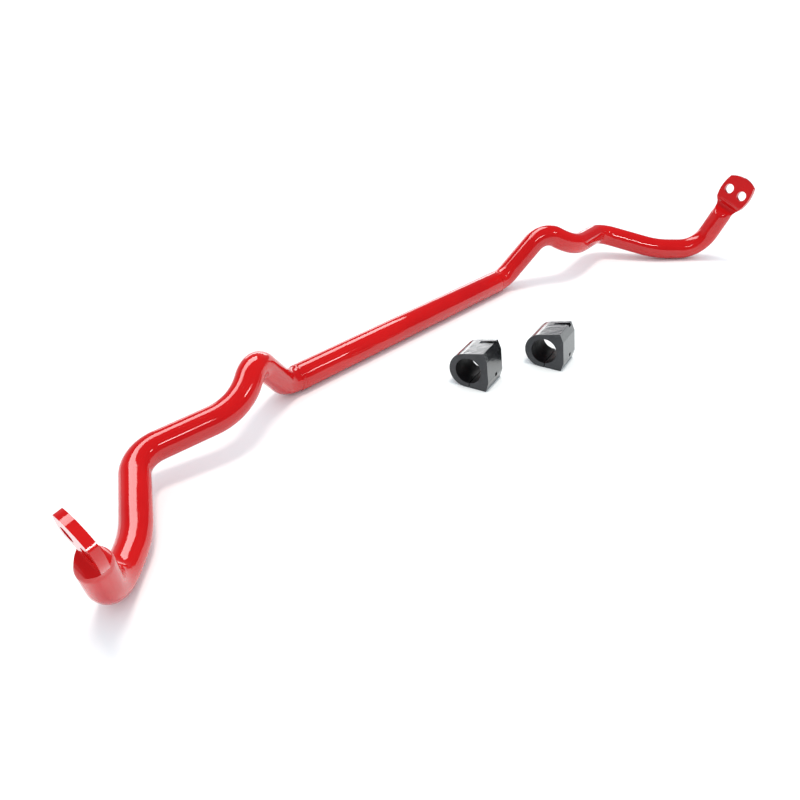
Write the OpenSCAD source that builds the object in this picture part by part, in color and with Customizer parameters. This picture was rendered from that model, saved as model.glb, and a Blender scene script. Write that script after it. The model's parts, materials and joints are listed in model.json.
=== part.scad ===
// Front sway bar with welded-in forged arms and two split D bushings, lying at rest on a floor.
// The origin is on the axis of the centre tube, halfway along it. +X runs across the vehicle,
// -Y is the side that the arms reach to, and +Z is up.

/* [Centre tube] */
// Outside diameter of the centre tube
tube_d = 28; // [27.6:0.1:29]
// Wall thickness of the centre tube
tube_wall = 4; // [3:0.5:5]

/* [Arms] */
// Diameter of the round bar that each arm is forged from
arm_d = 26.5; // [24:0.5:26.5]
// Depth to which an arm's turned spigot reaches into the tube
spigot_depth = 45; // [30:5:70]

/* [Bends] */
// First bend, where the arm leaves the line of the tube
rise_point = [183.8, 0, 0]; // [-600:0.1:600]
// Top of the hump beside the tube
hump_point = [233.7, -22.8, 56.9]; // [-600:0.1:600]
// Foot of the hump
dip_point = [271.5, -46.7, 31.3]; // [-600:0.1:600]
// Corner where the arm turns forward
corner_point = [368.3, -26.5, 19.6]; // [-600:0.1:600]
// Slight bend along the lever
lever_point = [412, -95.7, 0.5]; // [-600:0.1:600]
// Elbow where the lever turns up into its eye
elbow_point = [457, -136.5, -1.7]; // [-600:0.1:600]
// Point midway between the two holes of the eye
eye_point = [477, -166.5, 80.5]; // [-600:0.5:600]
// Centreline radius of each bend, in the order of the points above
bend_radii = [27.5, 27.5, 64, 32, 110, 40]; // [20:0.5:120]

/* [Forged eyes] */
// Thickness of the flattened eye
eye_thickness = 9.4; // [8:0.2:12]
// Largest width of the eye
eye_width = 44; // [42:0.5:48]
// Distance from the line of the holes to the tip
eye_tip = 21; // [18:0.5:24]
// Diameter of the two drop link holes
hole_d = 12.4; // [10:0.2:13]
// Distance between the two holes
hole_spacing = 20; // [18:0.5:21]

/* [Weld beads] */
// Length of a weld bead along the arm
weld_length = 4; // [3:0.5:5]
// How far the top of a bead stands above the arm
weld_height = 0.9; // [0.6:0.1:1.2]

/* [Bushings] */
// Bore of a bushing, with the slip clearance round the tube
bushing_bore = 28.2; // [28.1:0.1:28.6]
// Length of a bushing along its bore
bushing_length = 37; // [30:0.5:42]
// Radius of a bushing's round end
bushing_round_r = 19; // [18.6:0.2:21]
// Half width of a bushing across its base corners
bushing_base_half = 21.6; // [20:0.2:23]
// Distance from the bore's axis to the base corners
bushing_base_reach = 18.4; // [17:0.2:20]
// Height of the base's crown above its corners
bushing_crown = 3.4; // [2:0.2:4]
// Width of the slit that lets a bushing open
slit_width = 0.8; // [0.5:0.1:1.5]
// Turn of both bushings on the floor
bushing_yaw = 14; // [0:1:30]
// Middle of the left bushing's bore, along and across
left_bushing_at = [-27.4, -121.9]; // [-300:0.1:300]
// Middle of the right bushing's bore, along and across
right_bushing_at = [61.1, -154.6]; // [-300:0.1:300]

/* [Hidden] */
$fn = 48;

// Radial clearance of the spigot and of the bead, so that each arm can turn with the twist of the bar
turn_clearance = 0.05;
// A bend draws the bar a little thinner, and a straight length runs this far into it.
bend_thinning = 0.3;
into_bend = 0.5;
floor_z = -tube_d / 2;
coating_red = [0.80, 0.03, 0.03];
moulded_black = [0.07, 0.07, 0.075];

function unit(v) = v / norm(v);

// The arm's centreline runs from the middle of the tube through the bends to the root of the eye.
// side is 1 for the right arm and -1 for the left, which is its mirror image.
function on_side(point, side) = [side * point[0], point[1], point[2]];
eye_root = 31;  // from the line of the holes back to the centre of the round bar's domed end
right_eye_along = unit(eye_point - elbow_point);
right_route = [
    [0, 0, 0], rise_point, hump_point, dip_point, corner_point, lever_point, elbow_point,
    eye_point - eye_root * right_eye_along
];
last = len(right_route) - 1;
function route(side) = [for (point = right_route) on_side(point, side)];

// Direction of the straight run that leaves point i, the turn at point i, and the length of straight
// that the bend there takes up on either side
function run_dir(r, i) = unit(r[i + 1] - r[i]);
function turn_at(r, i) = acos(run_dir(r, i - 1) * run_dir(r, i));
function setback(r, i) = i == 0 || i == last ? 0 : bend_radii[i - 1] * tan(turn_at(r, i) / 2);

// The straight stub that the bead sits on lies between the tube's end and the first bend.
bend_start_x = rise_point[0] - setback(right_route, 1);
tube_end_x = bend_start_x - weld_length - 0.5;

// Places children with their x, y and z along three unit vectors
module oriented(origin, ex, ey, ez) {
    multmatrix([
        [ex[0], ey[0], ez[0], origin[0]],
        [ex[1], ey[1], ez[1], origin[1]],
        [ex[2], ey[2], ez[2], origin[2]],
        [0, 0, 0, 1]
    ]) children();
}

// A straight length of the arm's round bar, reaching a little way into the bends at its ends
module straight_bar(from, to) {
    axis = unit(to - from);
    across = unit(cross(axis, [0.31, 0.17, 0.94]));
    oriented(from - into_bend * axis, across, cross(axis, across), axis)
        cylinder(h = norm(to - from) + 2 * into_bend, d = arm_d);
}

// The bend of the round bar at point i of route r
module bent_bar(r, i) {
    radius = bend_radii[i - 1];
    arrive = run_dir(r, i - 1);
    leave = run_dir(r, i);
    centre = r[i] + unit(leave - arrive) * radius / cos(turn_at(r, i) / 2);
    outward = unit(r[i] - arrive * setback(r, i) - centre);
    oriented(centre, outward, arrive, cross(outward, arrive))
        rotate_extrude(angle = turn_at(r, i), $fn = 96)
            translate([radius, 0])
                circle(d = arm_d - bend_thinning);
}

// Outline of the eye: bulged flanks, a round tip and a neck as wide as the bar.
// x runs along the eye towards its tip, y across it.
module eye_outline() {
    flank_r = 46;
    tip_r = 33;
    flank_mid = -3;
    neck_half = arm_d / 2 - 0.3;
    intersection() {
        translate([flank_mid, flank_r - eye_width / 2])
            circle(r = flank_r, $fn = 180);
        translate([flank_mid, eye_width / 2 - flank_r])
            circle(r = flank_r, $fn = 180);
        translate([eye_tip - tip_r, 0])
            circle(r = tip_r, $fn = 180);
        polygon([
            [-eye_root - 6, -neck_half], [-eye_root, -neck_half], [-18, -eye_width / 2 + 2.6],
            [-12, -eye_width / 2], [eye_tip + 1, -eye_width / 2], [eye_tip + 1, eye_width / 2],
            [-12, eye_width / 2], [-18, eye_width / 2 - 2.6], [-eye_root, neck_half], [-eye_root - 6, neck_half]
        ]);
    }
}

// The flattened end of the arm with its two drop link holes, which lie side by side, fore and aft
module forged_eye(side) {
    along = on_side(right_eye_along, side);
    across = unit([0, 1, 0] - along[1] * along);
    oriented(on_side(eye_point, side), along, across, cross(along, across))
        difference() {
            translate([0, 0, -eye_thickness / 2])
                linear_extrude(eye_thickness)
                    eye_outline();
            for (hole = [-1, 1])
                translate([0, hole * hole_spacing / 2, -arm_d / 2])
                    cylinder(h = arm_d, d = hole_d);
        }
}

// An arm: spigot, stub, bends, lever and eye
module arm(side) {
    spigot_d = tube_d - 2 * tube_wall - 2 * turn_clearance;
    overlap = 0.3;
    r = route(side);
    color(coating_red) {
        translate([side * (tube_end_x - spigot_depth), 0, 0])
            rotate([0, side * 90, 0])
                cylinder(h = spigot_depth + overlap, d = spigot_d);
        straight_bar([side * (tube_end_x + overlap + into_bend), 0, 0], [side * bend_start_x, 0, 0]);
        for (i = [1 : last - 1]) {
            bent_bar(r, i);
            straight_bar(
                r[i] + run_dir(r, i) * setback(r, i),
                r[i + 1] - run_dir(r, i) * setback(r, i + 1)
            );
        }
        // The round bar ends in a dome, and the flattened eye grows out of it.
        translate(r[last])
            sphere(d = arm_d - bend_thinning);
        forged_eye(side);
    }
}

// A bead: a rounded ring on the arm's stub, against the tube's end
module weld(side) {
    inner_r = arm_d / 2 + turn_clearance;
    foot_r = tube_d / 2 - 0.1;
    top_r = arm_d / 2 + weld_height;
    throat = 0.2;
    color(coating_red)
        translate([side * tube_end_x, 0, 0])
            rotate([0, side * 90, 0])
                rotate_extrude($fn = 96)
                    polygon([
                        [inner_r, 0], [foot_r, 0], [top_r, weld_length * 0.3],
                        [top_r - throat, weld_length * 0.65], [inner_r + throat, weld_length],
                        [inner_r, weld_length]
                    ]);
}

module centre_tube() {
    lip = 0.6;
    color(coating_red)
        rotate([0, 90, 0])
            difference() {
                rotate_extrude($fn = 96)
                    polygon([
                        [0, -tube_end_x], [tube_d / 2 - lip, -tube_end_x], [tube_d / 2, -tube_end_x + lip],
                        [tube_d / 2, tube_end_x - lip], [tube_d / 2 - lip, tube_end_x], [0, tube_end_x]
                    ]);
                translate([0, 0, -tube_end_x - 1])
                    cylinder(h = 2 * tube_end_x + 2, d = tube_d - 2 * tube_wall);
            }
}

module right_arm() { arm(1); }
module left_arm() { arm(-1); }
module right_weld() { weld(1); }
module left_weld() { weld(-1); }

// A bushing's round end is centred a little behind its bore, and its flanks run from there, at
// flank_angle, out to the base corners.
round_shift = 2.4;
base_corner = [bushing_base_reach, bushing_base_half];
flank_angle = acos(bushing_round_r / norm(base_corner + [round_shift, 0]))
    - atan((bushing_base_reach + round_shift) / bushing_base_half);

// Outline of a bushing with its bore's axis at the origin and its crowned base towards +x
module bushing_outline() {
    crown_corner = [bushing_base_reach + bushing_crown, bushing_base_half * 0.55];
    difference() {
        hull() {
            translate([-round_shift, 0])
                circle(r = bushing_round_r, $fn = 96);
            polygon([
                [base_corner[0], -base_corner[1]], [crown_corner[0], -crown_corner[1]], crown_corner, base_corner
            ]);
        }
        circle(d = bushing_bore, $fn = 96);
    }
}

// A bushing lying on one flank, with its base towards -Y before it is turned on the floor.
// The slit runs from the bore out through the flank that rests on the floor.
module bushing(at) {
    bore_height = bushing_round_r + round_shift * sin(flank_angle);
    slit_reach = bushing_base_half + 5;
    color(moulded_black)
        translate([at[0], at[1], floor_z + bore_height])
            rotate([0, 0, bushing_yaw])
                rotate([-flank_angle, 0, 0])
                    rotate([0, 90, 0])
                        rotate([0, 0, -90])
                            difference() {
                                translate([0, 0, -bushing_length / 2])
                                    linear_extrude(bushing_length)
                                        bushing_outline();
                                translate([-slit_width / 2, 0, -bushing_length])
                                    cube([slit_width, slit_reach, 2 * bushing_length]);
                            }
}

module left_bushing() { bushing(left_bushing_at); }
module right_bushing() { bushing(right_bushing_at); }

centre_tube();
left_arm();
right_arm();
left_weld();
right_weld();
left_bushing();
right_bushing();
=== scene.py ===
# A welded front sway bar with its two loose split bushings, lying on a pale studio floor.
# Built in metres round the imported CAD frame: +X runs across the vehicle, along the centre tube,
# -Y is the side the levers reach to, and +Z is up.
import json
import math

import bmesh
import bpy
from mathutils import Matrix, Vector


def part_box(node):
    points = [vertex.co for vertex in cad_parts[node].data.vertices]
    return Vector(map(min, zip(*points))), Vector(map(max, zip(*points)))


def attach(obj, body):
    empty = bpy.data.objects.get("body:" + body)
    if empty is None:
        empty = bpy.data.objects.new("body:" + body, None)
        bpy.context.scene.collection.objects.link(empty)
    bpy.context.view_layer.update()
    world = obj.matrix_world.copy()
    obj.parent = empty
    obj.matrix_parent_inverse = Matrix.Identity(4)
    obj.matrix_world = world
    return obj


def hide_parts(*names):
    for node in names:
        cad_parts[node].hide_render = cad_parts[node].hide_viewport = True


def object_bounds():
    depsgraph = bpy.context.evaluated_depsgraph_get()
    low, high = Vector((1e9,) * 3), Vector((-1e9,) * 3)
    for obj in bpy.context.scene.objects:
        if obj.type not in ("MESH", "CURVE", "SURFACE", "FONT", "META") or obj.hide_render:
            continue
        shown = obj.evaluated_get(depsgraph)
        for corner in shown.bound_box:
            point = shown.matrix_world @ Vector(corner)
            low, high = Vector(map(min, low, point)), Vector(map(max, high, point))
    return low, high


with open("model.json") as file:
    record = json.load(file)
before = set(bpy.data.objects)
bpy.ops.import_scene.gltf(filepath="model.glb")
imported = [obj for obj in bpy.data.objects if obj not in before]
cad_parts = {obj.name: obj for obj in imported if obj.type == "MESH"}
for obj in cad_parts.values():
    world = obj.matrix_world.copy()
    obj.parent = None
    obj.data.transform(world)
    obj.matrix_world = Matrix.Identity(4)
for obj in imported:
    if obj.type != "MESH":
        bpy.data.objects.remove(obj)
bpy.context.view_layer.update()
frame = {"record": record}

mounts = {mount["name"]: mount for mount in frame["record"]["mounts"]}


# ---- Centre tube ----
# A drawn steel tube, sawn square and deburred at both ends, blasted and powder coated in a thick
# gloss red after the arms are welded in. The coat lies a little uneven, like the skin of an orange.
TUBE_RADIUS = mounts["centre_tube_seat"]["dims"]["r_mm"] / 1000
TUBE_WALL = 0.004
TUBE_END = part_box("centre_tube")[1][0]
RIM_ROUND = 0.0007
COATING_RED = (0.56, 0.009, 0.009, 1)
COATING_DEEP = (0.49, 0.006, 0.007, 1)
COATING_NIB = (0.38, 0.004, 0.006, 1)
PEEL_DEPTH = 0.00007
MERGE_DISTANCE = 1e-6


def new_group(name, inputs, outputs):
    """An empty node group with these sockets, and its input and output nodes"""
    group = bpy.data.node_groups.new(name, "ShaderNodeTree")
    for label, kind, value in inputs:
        socket = group.interface.new_socket(label, in_out="INPUT", socket_type=kind)
        if value is not None:
            socket.default_value = value
    for label, kind in outputs:
        group.interface.new_socket(label, in_out="OUTPUT", socket_type=kind)
    return group, group.nodes.new("NodeGroupInput"), group.nodes.new("NodeGroupOutput")


def add_noise(tree, place, scale, detail, roughness=0.5):
    """A noise texture's value on the object's own coordinates"""
    noise = tree.nodes.new("ShaderNodeTexNoise")
    noise.inputs["Scale"].default_value = scale
    noise.inputs["Detail"].default_value = detail
    noise.inputs["Roughness"].default_value = roughness
    tree.links.new(place, noise.inputs["Vector"])
    return noise.outputs["Fac"]


def remap(tree, value, low, high, to_low, to_high):
    """A Map Range node that takes low..high to to_low..to_high"""
    node = tree.nodes.new("ShaderNodeMapRange")
    node.inputs["From Min"].default_value = low
    node.inputs["From Max"].default_value = high
    node.inputs["To Min"].default_value = to_low
    node.inputs["To Max"].default_value = to_high
    tree.links.new(value, node.inputs["Value"])
    return node.outputs["Result"]


def mix_colours(tree, factor, first, second):
    """A colour mix whose two colours are fixed or come from sockets"""
    node = tree.nodes.new("ShaderNodeMix")
    node.data_type = "RGBA"
    tree.links.new(factor, node.inputs["Factor"])
    for socket, colour in ((node.inputs["A"], first), (node.inputs["B"], second)):
        if isinstance(colour, tuple):
            socket.default_value = colour
        else:
            tree.links.new(colour, socket)
    return node.outputs["Result"]


def multiply(tree, first, second):
    """first times second, where second is a socket or a number"""
    node = tree.nodes.new("ShaderNodeMath")
    node.operation = "MULTIPLY"
    tree.links.new(first, node.inputs[0])
    if isinstance(second, float):
        node.inputs[1].default_value = second
    else:
        tree.links.new(second, node.inputs[1])
    return node.outputs["Value"]


def add(tree, first, second):
    """The sum of two sockets"""
    node = tree.nodes.new("ShaderNodeMath")
    node.operation = "ADD"
    tree.links.new(first, node.inputs[0])
    tree.links.new(second, node.inputs[1])
    return node.outputs["Value"]


# Orange peel: the slow waves and the finer pebbling of a coat that flowed as it was baked.
# The moulded sides and the bores of the bushings use it too, each at its own scale and depth.
orange_peel, peel_in, peel_out = new_group(
    "orange_peel",
    [("Vector", "NodeSocketVector", None), ("Wave Scale", "NodeSocketFloat", 120.0),
     ("Pebble Scale", "NodeSocketFloat", 700.0), ("Pebble Share", "NodeSocketFloat", 0.35)],
    [("Height", "NodeSocketFloat")],
)
wave = orange_peel.nodes.new("ShaderNodeTexNoise")
wave.inputs["Detail"].default_value = 1.0
orange_peel.links.new(peel_in.outputs["Vector"], wave.inputs["Vector"])
orange_peel.links.new(peel_in.outputs["Wave Scale"], wave.inputs["Scale"])
pebble = orange_peel.nodes.new("ShaderNodeTexNoise")
pebble.inputs["Detail"].default_value = 2.0
orange_peel.links.new(peel_in.outputs["Vector"], pebble.inputs["Vector"])
orange_peel.links.new(peel_in.outputs["Pebble Scale"], pebble.inputs["Scale"])
pebbles = multiply(orange_peel, pebble.outputs["Fac"], peel_in.outputs["Pebble Share"])
orange_peel.links.new(add(orange_peel, wave.outputs["Fac"], pebbles), peel_out.inputs["Height"])

# Specks: a sparse mask of small points, as dust nibs in a coat or grit in a cut face.
specks, specks_in, specks_out = new_group(
    "specks",
    [("Vector", "NodeSocketVector", None), ("Scale", "NodeSocketFloat", 300.0),
     ("Size", "NodeSocketFloat", 0.12)],
    [("Mask", "NodeSocketFloat")],
)
cells = specks.nodes.new("ShaderNodeTexVoronoi")
specks.links.new(specks_in.outputs["Vector"], cells.inputs["Vector"])
specks.links.new(specks_in.outputs["Scale"], cells.inputs["Scale"])
inside = specks.nodes.new("ShaderNodeMath")
inside.operation = "LESS_THAN"
specks.links.new(cells.outputs["Distance"], inside.inputs[0])
specks.links.new(specks_in.outputs["Size"], inside.inputs[1])
thinned = specks.nodes.new("ShaderNodeMath")
thinned.operation = "LESS_THAN"
thinned.inputs[1].default_value = 0.35
specks.links.new(cells.outputs["Color"], thinned.inputs[0])
specks.links.new(
    multiply(specks, inside.outputs["Value"], thinned.outputs["Value"]), specks_out.inputs["Mask"]
)


def use_group(tree, group, place, **values):
    """The group placed in a material, with its own values"""
    node = tree.nodes.new("ShaderNodeGroup")
    node.node_tree = group
    tree.links.new(place, node.inputs["Vector"])
    for label, value in values.items():
        node.inputs[label.replace("_", " ")].default_value = value
    return node


def new_material(name):
    """A material with its Principled shader, its node tree and the object's own coordinates"""
    material = bpy.data.materials.new(name)
    material.use_nodes = True
    tree = material.node_tree
    shader = tree.nodes["Principled BSDF"]
    place = tree.nodes.new("ShaderNodeTexCoord").outputs["Object"]
    return material, tree, shader, place


def add_bump(tree, shader, height, distance):
    """A height that bends the shader's normal"""
    bump = tree.nodes.new("ShaderNodeBump")
    bump.inputs["Distance"].default_value = distance
    bump.inputs["Strength"].default_value = 1.0
    tree.links.new(height, bump.inputs["Height"])
    tree.links.new(bump.outputs["Normal"], shader.inputs["Normal"])


def powder_coat(name):
    """Thick gloss red powder coat: a slow drift of tone, dust nibs, and orange peel in the gloss"""
    material, tree, shader, place = new_material(name)
    drift = add_noise(tree, place, 14.0, 3.0)
    tone = mix_colours(tree, remap(tree, drift, 0.35, 0.65, 0.0, 1.0), COATING_RED, COATING_DEEP)
    nibs = use_group(tree, specks, place, Scale=260.0, Size=0.05)
    red = mix_colours(tree, nibs.outputs["Mask"], tone, COATING_NIB)
    tree.links.new(red, shader.inputs["Base Color"])
    haze = add_noise(tree, place, 60.0, 4.0)
    tree.links.new(remap(tree, haze, 0.3, 0.7, 0.035, 0.085), shader.inputs["Roughness"])
    peel = use_group(
        tree, orange_peel, place, Wave_Scale=110.0, Pebble_Scale=620.0, Pebble_Share=0.22
    )
    height = add(tree, peel.outputs["Height"], multiply(tree, nibs.outputs["Mask"], 0.4))
    add_bump(tree, shader, height, PEEL_DEPTH)
    shader.inputs["Specular IOR Level"].default_value = 0.55
    return material


red_coat = powder_coat("red_powder_coat")


def finish_piece(name, mesh, material, body, slot, *nodes):
    """A finished mesh as a piece: coated, and riding on its body in place of its CAD nodes"""
    piece = bpy.data.objects.new(name, mesh)
    bpy.context.scene.collection.objects.link(piece)
    if not mesh.materials:
        mesh.materials.append(material)
    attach(piece, body)
    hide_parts(*nodes)
    return piece


def face_outwards(shape):
    """Turns every face of a closed shape outwards"""
    bmesh.ops.recalc_face_normals(shape, faces=shape.faces)
    if shape.calc_volume(signed=True) < 0:
        bmesh.ops.reverse_faces(shape, faces=shape.faces)


def to_mesh(shape, name, sharp_degrees=35):
    """The bmesh as a mesh with smooth faces and sharp creases, and the bmesh freed"""
    bmesh.ops.remove_doubles(shape, verts=shape.verts, dist=MERGE_DISTANCE)
    face_outwards(shape)
    mesh = bpy.data.meshes.new(name)
    shape.to_mesh(mesh)
    shape.free()
    mesh.shade_smooth()
    mesh.set_sharp_from_angle(angle=math.radians(sharp_degrees))
    return mesh


TUBE_STEPS = 96
tube = bmesh.new()
bore_radius = TUBE_RADIUS - TUBE_WALL
wall = [(TUBE_END, TUBE_RADIUS), (-TUBE_END, TUBE_RADIUS), (-TUBE_END, bore_radius), (TUBE_END, bore_radius)]
corners = [tube.verts.new((x, 0, radius)) for x, radius in wall]
section = [tube.edges.new((corners[i], corners[(i + 1) % 4])) for i in range(4)]
bmesh.ops.spin(
    tube, geom=corners + section, cent=(0, 0, 0), axis=(1, 0, 0), angle=2 * math.pi, steps=TUBE_STEPS,
    use_merge=True,
)
bmesh.ops.remove_doubles(tube, verts=tube.verts, dist=MERGE_DISTANCE)
outer_rims = [
    edge for edge in tube.edges
    if all(math.hypot(vert.co.y, vert.co.z) > TUBE_RADIUS - MERGE_DISTANCE for vert in edge.verts)
    and abs(edge.verts[0].co.x - edge.verts[1].co.x) < MERGE_DISTANCE
]
bmesh.ops.bevel(
    tube, geom=outer_rims, offset=RIM_ROUND, segments=3, profile=0.5, material=-1, affect="EDGES"
)
finish_piece("coated_tube", to_mesh(tube, "coated_tube"), red_coat, "tube", "red_coating", "centre_tube")


# ---- Arms ----
# Each arm is one solid round bar. Its inner end is turned down to a spigot that sits in the tube, it is
# bent cold round six formers, and its outer end is heated and pressed flat in a die, then drilled
# with two holes for the drop link. The left arm is the right arm's mirror image.
BAR_RADIUS = 0.01325
SPIGOT_RADIUS = 0.00995
SPIGOT_DEPTH = 0.045
SHOULDER = 0.00005
ROUTE = [
    Vector((0, 0, 0)), Vector((0.1838, 0, 0)), Vector((0.2337, -0.0228, 0.0569)),
    Vector((0.2715, -0.0467, 0.0313)), Vector((0.3683, -0.0265, 0.0196)),
    Vector((0.412, -0.0957, 0.0005)), Vector((0.457, -0.1365, -0.0017)),
    Vector((0.477, -0.1665, 0.0805)),
]
BEND_RADII = [0.0275, 0.0275, 0.064, 0.032, 0.110, 0.040]
BEND_STEP = math.radians(3)
EYE_HALF_THICKNESS = 0.0047
EYE_HALF_WIDTH = 0.0212
EYE_TIP = 0.021
EYE_TIP_RADIUS = 0.033
EYE_FLANK_RADIUS = 0.046
EYE_WIDEST = -0.001
EYE_EDGE = 0.0015
HOLE_RADIUS = mounts["right_link_hole_front"]["dims"]["r_mm"] / 1000
HOLE_SPACING = 0.020
PRESS_START = -0.036
PRESS_SLOPE = 0.014
SPREAD_START = -0.035
SPREAD_LENGTH = 0.021
PRESS_END = -0.013
TRIM_OVERLAP = 0.003
BAR_SIDES = 64


def extrude_ring(shape, ring, offset, scale=1.0):
    """The ring of edges drawn out by offset, and scaled about its middle. Returns the new ring."""
    made = bmesh.ops.extrude_edge_only(shape, edges=ring)["geom"]
    new_verts = [g for g in made if isinstance(g, bmesh.types.BMVert)]
    new_ring = [g for g in made if isinstance(g, bmesh.types.BMEdge)]
    bmesh.ops.translate(shape, verts=new_verts, vec=offset)
    if scale != 1.0:
        middle = sum((v.co for v in new_verts), Vector()) / len(new_verts)
        bmesh.ops.scale(
            shape, verts=new_verts, vec=(scale,) * 3, space=Matrix.Translation(-middle)
        )
    new_verts_set = set(new_verts)
    return [e for e in new_ring if e.verts[0] in new_verts_set and e.verts[1] in new_verts_set]


def bend_ring(shape, ring, corner, arrive, leave, radius):
    """The ring swept round one bend of the bar. Returns the ring at its end."""
    turn = arrive.angle(leave)
    centre = corner + (leave - arrive).normalized() * radius / math.cos(turn / 2)
    steps = max(2, round(turn / BEND_STEP))
    verts = list({v for e in ring for v in e.verts})
    made = bmesh.ops.spin(
        shape, geom=verts + ring, cent=centre, axis=arrive.cross(leave), angle=turn, steps=steps
    )["geom_last"]
    return [g for g in made if isinstance(g, bmesh.types.BMEdge)]


def smooth_step(value):
    """0 to 1 with a soft start and a soft end"""
    value = min(max(value, 0.0), 1.0)
    return value * value * (3 - 2 * value)


def eye_section(s):
    """Half width, half thickness and corner radius of the pressed bar, s beyond the holes' line"""
    flank = EYE_HALF_WIDTH - EYE_FLANK_RADIUS + math.sqrt(EYE_FLANK_RADIUS ** 2 - (s - EYE_WIDEST) ** 2)
    pressed = smooth_step((s - PRESS_START) / PRESS_SLOPE)
    spread = smooth_step((s - SPREAD_START) / SPREAD_LENGTH)
    squared = smooth_step((s - PRESS_START) / (PRESS_END - PRESS_START))
    half_width = BAR_RADIUS + (flank - BAR_RADIUS) * spread
    half_thickness = BAR_RADIUS + (EYE_HALF_THICKNESS - BAR_RADIUS) * pressed
    corner = BAR_RADIUS + (EYE_EDGE - BAR_RADIUS) * squared
    return half_width, half_thickness, min(corner, half_thickness)


def shape_section(verts, origin, across, normal, section):
    """Moves a round ring's vertices onto a rounded rectangle of this half width, thickness and corner"""
    half_width, half_thickness, corner = section
    for vert in verts:
        offset = vert.co - origin
        side, lift = offset.dot(across), offset.dot(normal)
        along = offset - across * side - normal * lift
        angle = math.atan2(lift, side)
        core_side = math.copysign(half_width - corner, math.cos(angle))
        core_lift = math.copysign(half_thickness - corner, math.sin(angle))
        vert.co = (
            origin + along + across * (core_side + corner * math.cos(angle))
            + normal * (core_lift + corner * math.sin(angle))
        )


arm = bmesh.new()
holes_middle = ROUTE[-1]
lengthwise = (ROUTE[-1] - ROUTE[-2]).normalized()
across = (Vector((0, 1, 0)) - lengthwise * lengthwise.y).normalized()
eye_normal = lengthwise.cross(across)
face_x = Matrix.Rotation(math.pi / 2, 4, "Y") @ Matrix.Rotation(math.pi / BAR_SIDES, 4, "Z")
bmesh.ops.create_circle(
    arm, cap_ends=True, segments=BAR_SIDES, radius=SPIGOT_RADIUS,
    matrix=Matrix.Translation((TUBE_END - SPIGOT_DEPTH, 0, 0)) @ face_x,
)
ring = extrude_ring(arm, list(arm.edges), Vector((SPIGOT_DEPTH, 0, 0)))
ring = extrude_ring(arm, ring, Vector((SHOULDER, 0, 0)), BAR_RADIUS / SPIGOT_RADIUS)
reached = Vector((TUBE_END + SHOULDER, 0, 0))
for i in range(1, len(ROUTE) - 1):
    arrive = (ROUTE[i] - ROUTE[i - 1]).normalized()
    leave = (ROUTE[i + 1] - ROUTE[i]).normalized()
    setback = BEND_RADII[i - 1] * math.tan(arrive.angle(leave) / 2)
    bend_start = ROUTE[i] - arrive * setback
    ring = extrude_ring(arm, ring, bend_start - reached)
    ring = bend_ring(arm, ring, ROUTE[i], arrive, leave, BEND_RADII[i - 1])
    reached = ROUTE[i] + leave * setback
ring = extrude_ring(arm, ring, holes_middle + lengthwise * PRESS_START - reached)
PRESS_STEPS = 28
FLAT_STEPS = 8
press_length = PRESS_END - PRESS_START
flat_length = EYE_TIP + TRIM_OVERLAP - PRESS_END
eye_stations = [PRESS_START + press_length * (k + 1) / PRESS_STEPS for k in range(PRESS_STEPS)]
eye_stations += [PRESS_END + flat_length * (k + 1) / FLAT_STEPS for k in range(FLAT_STEPS)]
station = PRESS_START
for s in eye_stations:
    ring = extrude_ring(arm, ring, lengthwise * (s - station))
    station = s
    shape_section(
        {v for e in ring for v in e.verts}, holes_middle + lengthwise * s, across, eye_normal,
        eye_section(s),
    )
bmesh.ops.holes_fill(arm, edges=ring, sides=BAR_SIDES)

# The tip is trimmed to a shallow arc, and each hole is drilled square to the flat.
eye_frame = Matrix((across, lengthwise, eye_normal)).transposed().to_4x4()
eye_frame.translation = holes_middle


def as_object(shape, name):
    """The bmesh as an object of its own, for a cut"""
    face_outwards(shape)
    mesh = bpy.data.meshes.new(name)
    shape.to_mesh(mesh)
    shape.free()
    made = bpy.data.objects.new(name, mesh)
    bpy.context.scene.collection.objects.link(made)
    return made


def cut_away(body, cutters):
    """body's mesh with every cutter taken out of it; the objects are deleted"""
    for cutter in cutters:
        step = body.modifiers.new("cut", "BOOLEAN")
        step.operation = "DIFFERENCE"
        step.solver = "MANIFOLD"
        step.object = cutter
    bpy.context.view_layer.update()
    evaluated = body.evaluated_get(bpy.context.evaluated_depsgraph_get())
    mesh = bpy.data.meshes.new_from_object(evaluated)
    for spent in [body] + cutters:
        bpy.data.objects.remove(spent)
    return mesh


TRIM_SWEEP = math.radians(100)
TRIM_STEPS = 60
BLADE_WIDTH = 0.02
BLADE_REACH = 0.02
trim = bmesh.new()
near, far = EYE_TIP_RADIUS, EYE_TIP_RADIUS + BLADE_WIDTH
blade = [
    trim.verts.new((0, radius, z))
    for radius, z in ((near, -BLADE_REACH), (far, -BLADE_REACH), (far, BLADE_REACH), (near, BLADE_REACH))
]
blade_face = trim.faces.new(blade)
bmesh.ops.rotate(trim, verts=blade, cent=(0, 0, 0), matrix=Matrix.Rotation(-TRIM_SWEEP / 2, 3, "Z"))
bmesh.ops.spin(
    trim, geom=blade + list(blade_face.edges) + [blade_face], cent=(0, 0, 0), axis=(0, 0, 1),
    angle=TRIM_SWEEP, steps=TRIM_STEPS,
)
bmesh.ops.remove_doubles(trim, verts=trim.verts, dist=MERGE_DISTANCE)
bmesh.ops.transform(
    trim, verts=trim.verts,
    matrix=eye_frame @ Matrix.Translation((0, EYE_TIP - EYE_TIP_RADIUS, 0)),
)
cutters = [as_object(trim, "tip_trim")]
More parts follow.
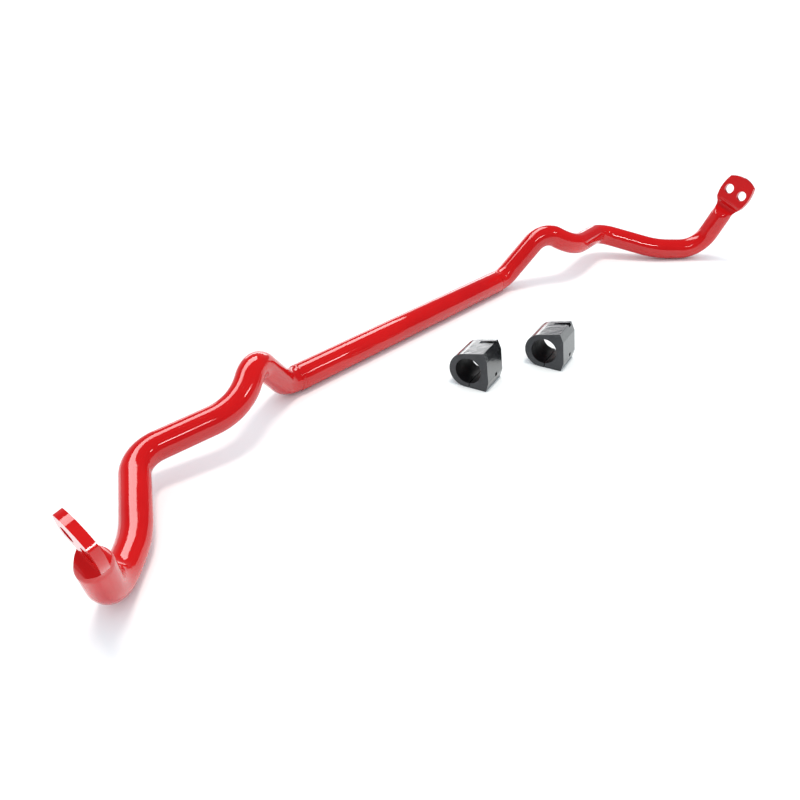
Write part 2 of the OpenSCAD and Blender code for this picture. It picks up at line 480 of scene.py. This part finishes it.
for side in (-1, 1):
    drill = bmesh.new()
    bmesh.ops.create_cone(
        drill, cap_ends=True, segments=48, radius1=HOLE_RADIUS, radius2=HOLE_RADIUS,
        depth=2 * BLADE_REACH, matrix=eye_frame @ Matrix.Translation((side * HOLE_SPACING / 2, 0, 0)),
    )
    cutters.append(as_object(drill, "drill"))
arm_mesh = cut_away(as_object(arm, "arm_blank"), cutters)


def soften(piece, width, degrees, segments=3):
    """Rounds every crease sharper than this, as the coat and the tool leave it"""
    bevel = piece.modifiers.new("soft_edges", "BEVEL")
    bevel.width = width
    bevel.segments = segments
    bevel.limit_method = "ANGLE"
    bevel.angle_limit = math.radians(degrees)
    bevel.harden_normals = True


for side in ("right", "left"):
    name = f"{side}_lever"
    shape = bmesh.new()
    shape.from_mesh(arm_mesh)
    if side == "left":
        bmesh.ops.scale(shape, verts=shape.verts, vec=(-1, 1, 1))
    mesh = to_mesh(shape, name, 60)
    piece = finish_piece(name, mesh, red_coat, name, "red_coating", f"{side}_arm")
    soften(piece, 0.0010, 50)


# ---- Weld beads ----
# A single pass of steel weld joins each arm to the tube's end. The bead freezes in small overlapping
# scales, and the coat flows over them, so they show as soft ripples.
BEAD_SCALES = 26
SCALE_DEPTH = 0.00016
BEAD_GAP = 0.00005


def weld_bead(name, side, body, node):
    """A ring of frozen scales round the arm's stub, against the tube's end"""
    low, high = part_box(node)
    length = high[0] - low[0]
    bead = bmesh.new()
    foot, crown = TUBE_RADIUS - 0.0001, (high[2] - low[2]) / 2 - 0.00012
    inner = BAR_RADIUS + BEAD_GAP
    outline = [(0.02, foot), (0.14, foot + 0.00002), (0.32, crown), (0.55, crown - 0.00008),
               (0.78, crown - 0.0004), (0.93, inner + 0.0003), (1.0, inner)]
    start = TUBE_END * side
    rail = [bead.verts.new((start + side * length * share, 0, radius)) for share, radius in outline]
    rail.append(bead.verts.new((start + side * length, 0, inner - 0.00003)))
    rail.append(bead.verts.new((start + side * length * 0.02, 0, inner - 0.00003)))
    edges = [bead.edges.new((rail[i], rail[(i + 1) % len(rail)])) for i in range(len(rail))]
    bmesh.ops.spin(
        bead, geom=rail + edges, cent=(0, 0, 0), axis=(1, 0, 0), angle=2 * math.pi, steps=240,
        use_merge=True,
    )
    for vert in bead.verts:
        radius = math.hypot(vert.co.y, vert.co.z)
        if radius < inner + 0.00002:
            continue
        share = abs(vert.co.x - start) / length
        turn = math.atan2(vert.co.z, vert.co.y) + 0.9 * (share - 0.5) ** 2
        lift = SCALE_DEPTH * (abs(math.sin(turn * BEAD_SCALES / 2)) - 1)
        vert.co.y *= 1 + lift / radius
        vert.co.z *= 1 + lift / radius
        vert.co.x += side * lift * 0.8 * share
    finish_piece(name, to_mesh(bead, name, 60), red_coat, body, "red_coating", node)


weld_bead("right_weld_bead", 1, "tube", "right_weld")
weld_bead("left_weld_bead", -1, "tube", "left_weld")


# ---- Bushings ----
# Two split D blocks moulded in black elastomer. The sides keep the mould's gloss, the ends are parted
# off and stay matt, and a slit lets each block open over the tube. Both lie on one flank.
BORE_RADIUS = mounts["left_bushing_bore"]["dims"]["r_mm"] / 1000
BLOCK_LENGTH = mounts["left_bushing_bore"]["dims"]["length_mm"] / 1000
ROUND_RADIUS = 0.019
ROUND_SHIFT = 0.0024
BASE_REACH = 0.0184
BASE_HALF = 0.0216
BASE_CROWN = 0.0034
CROWN_HALF = BASE_HALF * 0.55
SLIT_WIDTH = 0.0008
CUT_REACH = 0.05
STEP_START, STEP_END = 0.0080, 0.0145
SOCKET_START, SOCKET_END = 0.0, 0.0045
FLAT_AREA = 0.0001
BORE_FACE, END_FACE, SIDE_FACE = 2, 1, 0


def moulded_side(name):
    """Glossy black moulded elastomer with faint flow marks, smears and a little dust"""
    material, tree, shader, place = new_material(name)
    drift = add_noise(tree, place, 40.0, 3.0)
    drift = remap(tree, drift, 0.3, 0.7, 0.0, 1.0)
    black = mix_colours(tree, drift, (0.003, 0.003, 0.0035, 1), (0.008, 0.008, 0.009, 1))
    dust = use_group(tree, specks, place, Scale=420.0, Size=0.10)
    tree.links.new(
        mix_colours(tree, dust.outputs["Mask"], black, (0.05, 0.05, 0.052, 1)),
        shader.inputs["Base Color"],
    )
    smear = add_noise(tree, place, 90.0, 4.0, 0.6)
    tree.links.new(remap(tree, smear, 0.3, 0.7, 0.07, 0.20), shader.inputs["Roughness"])
    peel = use_group(
        tree, orange_peel, place, Wave_Scale=150.0, Pebble_Scale=900.0, Pebble_Share=0.4
    )
    add_bump(tree, shader, peel.outputs["Height"], 0.00012)
    shader.inputs["IOR"].default_value = 1.9
    shader.inputs["Specular IOR Level"].default_value = 1.0
    return material


def cut_end(name):
    """The matt parted-off end: dark grey, finely pitted, with pale grit"""
    material, tree, shader, place = new_material(name)
    drift = add_noise(tree, place, 55.0, 5.0, 0.65)
    drift = remap(tree, drift, 0.3, 0.7, 0.0, 1.0)
    grey = mix_colours(tree, drift, (0.022, 0.023, 0.026, 1), (0.040, 0.041, 0.045, 1))
    grit = use_group(tree, specks, place, Scale=800.0, Size=0.22)
    tree.links.new(
        mix_colours(tree, grit.outputs["Mask"], grey, (0.10, 0.10, 0.105, 1)),
        shader.inputs["Base Color"],
    )
    fine = add_noise(tree, place, 1600.0, 2.0)
    tree.links.new(remap(tree, fine, 0.3, 0.7, 0.48, 0.68), shader.inputs["Roughness"])
    add_bump(tree, shader, fine, 0.00015)
    return material


def bore_wall(name):
    """The bore's wall: dull black, polished in patches by the bar"""
    material, tree, shader, place = new_material(name)
    rubbed = add_noise(tree, place, 120.0, 4.0, 0.6)
    shader.inputs["Base Color"].default_value = (0.004, 0.004, 0.005, 1)
    tree.links.new(remap(tree, rubbed, 0.3, 0.7, 0.45, 0.70), shader.inputs["Roughness"])
    peel = use_group(
        tree, orange_peel, place, Wave_Scale=300.0, Pebble_Scale=1500.0, Pebble_Share=0.6
    )
    add_bump(tree, shader, peel.outputs["Height"], 0.0002)
    shader.inputs["Specular IOR Level"].default_value = 0.25
    return material


side_finish = moulded_side("moulded_elastomer")
end_finish = cut_end("parted_elastomer")
bore_finish = bore_wall("bore_elastomer")


def slab(corners, low, high, name):
    """A prism: these corners as a face at height low, drawn up to height high, as an object for a cut"""
    shape = bmesh.new()
    face = shape.faces.new([shape.verts.new((x, y, low)) for x, y in corners])
    made = bmesh.ops.extrude_face_region(shape, geom=[face])["geom"]
    bmesh.ops.translate(
        shape, verts=[g for g in made if isinstance(g, bmesh.types.BMVert)], vec=(0, 0, high - low)
    )
    return as_object(shape, name)


def bushing_mesh(name):
    """A block with its bore along z at the origin, its base towards +x and its slit towards +y"""
    block = bmesh.new()
    flank = math.acos(ROUND_RADIUS / math.hypot(BASE_REACH + ROUND_SHIFT, BASE_HALF))
    flank -= math.atan((BASE_REACH + ROUND_SHIFT) / BASE_HALF)
    half_turn = math.pi / 2 - flank
    half = BLOCK_LENGTH / 2
    start = block.verts.new((
        -ROUND_SHIFT - ROUND_RADIUS * math.sin(flank), ROUND_RADIUS * math.cos(flank), -half
    ))
    made = bmesh.ops.spin(
        block, geom=[start], cent=(-ROUND_SHIFT, 0, -half), axis=(0, 0, 1), angle=2 * half_turn,
        steps=72,
    )["geom_last"]
    last = [item for item in made if isinstance(item, bmesh.types.BMVert)][0]
    base = [(BASE_REACH, -BASE_HALF), (BASE_REACH + BASE_CROWN, -CROWN_HALF),
            (BASE_REACH + BASE_CROWN, CROWN_HALF), (BASE_REACH, BASE_HALF)]
    for x, y in base:
        corner = block.verts.new((x, y, -half))
        block.edges.new((last, corner))
        last = corner
    block.edges.new((last, start))
    face = bmesh.ops.holes_fill(block, edges=block.edges, sides=len(block.edges))["faces"]
    made = bmesh.ops.extrude_face_region(block, geom=face)["geom"]
    bmesh.ops.translate(
        block, verts=[g for g in made if isinstance(g, bmesh.types.BMVert)], vec=(0, 0, BLOCK_LENGTH)
    )
    bore = bmesh.new()
    bmesh.ops.create_cone(
        bore, cap_ends=True, segments=96, radius1=BORE_RADIUS, radius2=BORE_RADIUS,
        depth=2 * CUT_REACH,
    )
    half_slit = SLIT_WIDTH / 2
    slit = slab(
        [(-half_slit, 0), (half_slit, 0), (half_slit, CUT_REACH), (-half_slit, CUT_REACH)],
        -CUT_REACH, CUT_REACH, "slit",
    )
    # A moulded wedge-shaped step runs across the upper flank near the far end, deepest at the base.
    wedge = slab(
        [(-0.004, -0.03), (0.03, -0.03), (0.03, -0.0188), (0.0184, -0.0188), (-0.004, -0.0198)],
        STEP_START, STEP_END, "wedge",
    )
    # A small pin socket sits low on the base.
    socket = slab(
        [(0.0175, 0.0085), (0.03, 0.0085), (0.03, 0.0125), (0.0175, 0.0125)],
        SOCKET_START, SOCKET_END, "socket",
    )
    return cut_away(as_object(block, name), [as_object(bore, "bore"), slit, wedge, socket])


for side in ("left", "right"):
    name = f"{side}_bushing"
    bore_mount, base_mount = mounts[f"{name}_bore"], mounts[f"{name}_base"]
    to_base = Vector(base_mount["axis"])
    bore_line = -Vector(bore_mount["axis"])
    place = Matrix((to_base, bore_line.cross(to_base), bore_line)).transposed().to_4x4()
    place.translation = Vector(bore_mount["pos_m"])
    shape = bmesh.new()
    shape.from_mesh(bushing_mesh(f"{name}_block"))
    for face in shape.faces:
        middle = face.calc_center_median()
        face.material_index = SIDE_FACE
        if middle.xy.length < BORE_RADIUS + 0.0001:
            face.material_index = BORE_FACE
        if abs(face.normal.z) > 0.99 and abs(abs(middle.z) - BLOCK_LENGTH / 2) < 0.0001:
            face.material_index = END_FACE
    bmesh.ops.transform(shape, verts=shape.verts, matrix=place)
    mesh = to_mesh(shape, f"{name}_block", 40)
    for polygon in mesh.polygons:
        polygon.use_smooth = polygon.area < FLAT_AREA
    mesh.materials.append(side_finish)
    mesh.materials.append(end_finish)
    mesh.materials.append(bore_finish)
    piece = finish_piece(f"{name}_block", mesh, side_finish, f"{side}_block", "moulded_black", name)
    soften(piece, 0.0004, 30, 2)


# ---- Floor ----
# A sheet of matt white studio board, much larger than the bar. The tube and both bushings lie on it,
# and the gloss on their undersides shows it.
floor_z = min(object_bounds()[0].z, -TUBE_RADIUS)
floor_shape = bmesh.new()
bmesh.ops.create_grid(
    floor_shape, x_segments=1, y_segments=1, size=6.0, matrix=Matrix.Translation((0, 0, floor_z))
)
floor_mesh = bpy.data.meshes.new("floor")
floor_shape.to_mesh(floor_mesh)
floor_shape.free()
floor = bpy.data.objects.new("floor", floor_mesh)
bpy.context.scene.collection.objects.link(floor)
floor_finish, _, floor_shader, _ = new_material("white_board")
floor_shader.inputs["Base Color"].default_value = (0.93, 0.93, 0.93, 1)
floor_shader.inputs["Roughness"].default_value = 0.6
floor_shader.inputs["Specular IOR Level"].default_value = 0.2
floor_mesh.materials.append(floor_finish)


# ---- Light ----
# A broad soft box hangs over the bar and behind it, a low one stands far behind, and two narrow strips
# stand in front. They only show in the gloss. A pale sky and a soft sun light the board and the bar.
def reflected_box(name, place, target, size, radiance):
    """A rectangular light seen only in the gloss: at place, facing target, long side along +X"""
    light = bpy.data.lights.new(name, "AREA")
    light.shape = "RECTANGLE"
    light.size, light.size_y = size
    light.energy = radiance * math.pi * size[0] * size[1]
    lamp = bpy.data.objects.new(name, light)
    bpy.context.scene.collection.objects.link(lamp)
    down = (Vector(target) - Vector(place)).normalized()
    side = (Vector((1, 0, 0)) - down * down.x).normalized()
    turn = Matrix((side, side.cross(down), -down)).transposed().to_4x4()
    turn.translation = Vector(place)
    lamp.matrix_world = turn
    lamp.visible_diffuse = False
    lamp.visible_camera = False


reflected_box("over_box", (0.25, 0.80, 1.5), (0.1, 0.3, 0), (2.2, 0.75), 7.0)
reflected_box("back_box", (2.5, 3.0, 0.72), (0.0, -0.13, 0), (3.6, 0.85), 3.2)
reflected_box("right_strip", (0.85, -1.8, 1.45), (0, -0.1, 0), (0.4, 0.12), 28.0)
reflected_box("left_strip", (-0.75, -1.8, 1.45), (0, -0.1, 0), (0.9, 0.12), 28.0)
sun_light = bpy.data.lights.new("soft_sun", "SUN")
sun_light.energy = 1.25
sun_light.angle = math.radians(14)
sun_light.color = (1.0, 0.91, 0.82)
sun = bpy.data.objects.new("soft_sun", sun_light)
bpy.context.scene.collection.objects.link(sun)
sun.rotation_mode = "QUATERNION"
sun.rotation_quaternion = Vector((-0.03, 0.05, -1.1)).to_track_quat("-Z", "Y")
sun.visible_glossy = False

# The sky lights the board and shows white behind it. The gloss sees a dim room with a pale wall
# behind the bar.
world = bpy.data.worlds.new("pale_room")
world.use_nodes = True
sky = world.node_tree
backdrop = sky.nodes["Background"]
backdrop.inputs["Color"].default_value = (0.86, 0.95, 1.0, 1)
backdrop.inputs["Strength"].default_value = 1.18
room = sky.nodes.new("ShaderNodeBackground")
direction = sky.nodes.new("ShaderNodeTexCoord").outputs["Generated"]
parts = sky.nodes.new("ShaderNodeSeparateXYZ")
sky.links.new(direction, parts.inputs["Vector"])
back_wall = remap(sky, parts.outputs["Y"], 0.1, 0.6, 0.0, 1.0)
low_down = remap(sky, parts.outputs["Z"], 0.25, 0.55, 1.0, 0.0)
sky.links.new(
    mix_colours(sky, multiply(sky, back_wall, low_down), (0.06, 0.065, 0.08, 1), (0.42, 0.44, 0.48, 1)),
    room.inputs["Color"],
)
white = sky.nodes.new("ShaderNodeBackground")
white.inputs["Color"].default_value = (1, 1, 1, 1)
ray = sky.nodes.new("ShaderNodeLightPath")
gloss_mix = sky.nodes.new("ShaderNodeMixShader")
camera_mix = sky.nodes.new("ShaderNodeMixShader")
sky.links.new(ray.outputs["Is Glossy Ray"], gloss_mix.inputs["Fac"])
sky.links.new(backdrop.outputs["Background"], gloss_mix.inputs[1])
sky.links.new(room.outputs["Background"], gloss_mix.inputs[2])
sky.links.new(ray.outputs["Is Camera Ray"], camera_mix.inputs["Fac"])
sky.links.new(gloss_mix.outputs["Shader"], camera_mix.inputs[1])
sky.links.new(white.outputs["Background"], camera_mix.inputs[2])
sky.links.new(camera_mix.outputs["Shader"], sky.nodes["World Output"].inputs["Surface"])
bpy.context.scene.world = world
bpy.context.scene.view_settings.view_transform = "Standard"


# ---- Camera ----
# A slightly wide lens looks across the bar from above its front left, so the left eye is near and the
# right one is far.
camera_data = bpy.data.cameras.new("camera")
camera_data.sensor_width = 36.0
camera_data.lens = 35.95
camera_data.clip_start = 0.01
camera = bpy.data.objects.new("camera", camera_data)
bpy.context.scene.collection.objects.link(camera)
forward = Vector((0.6202, 0.5842, -0.5235)).normalized()
to_right = Vector((0.6829, -0.7304, -0.0061))
to_right = (to_right - forward * forward.dot(to_right)).normalized()
pose = Matrix((to_right, to_right.cross(forward), -forward)).transposed().to_4x4()
pose.translation = Vector((-0.6143, -0.5658, 0.4105))
camera.matrix_world = pose
bpy.context.scene.camera = camera
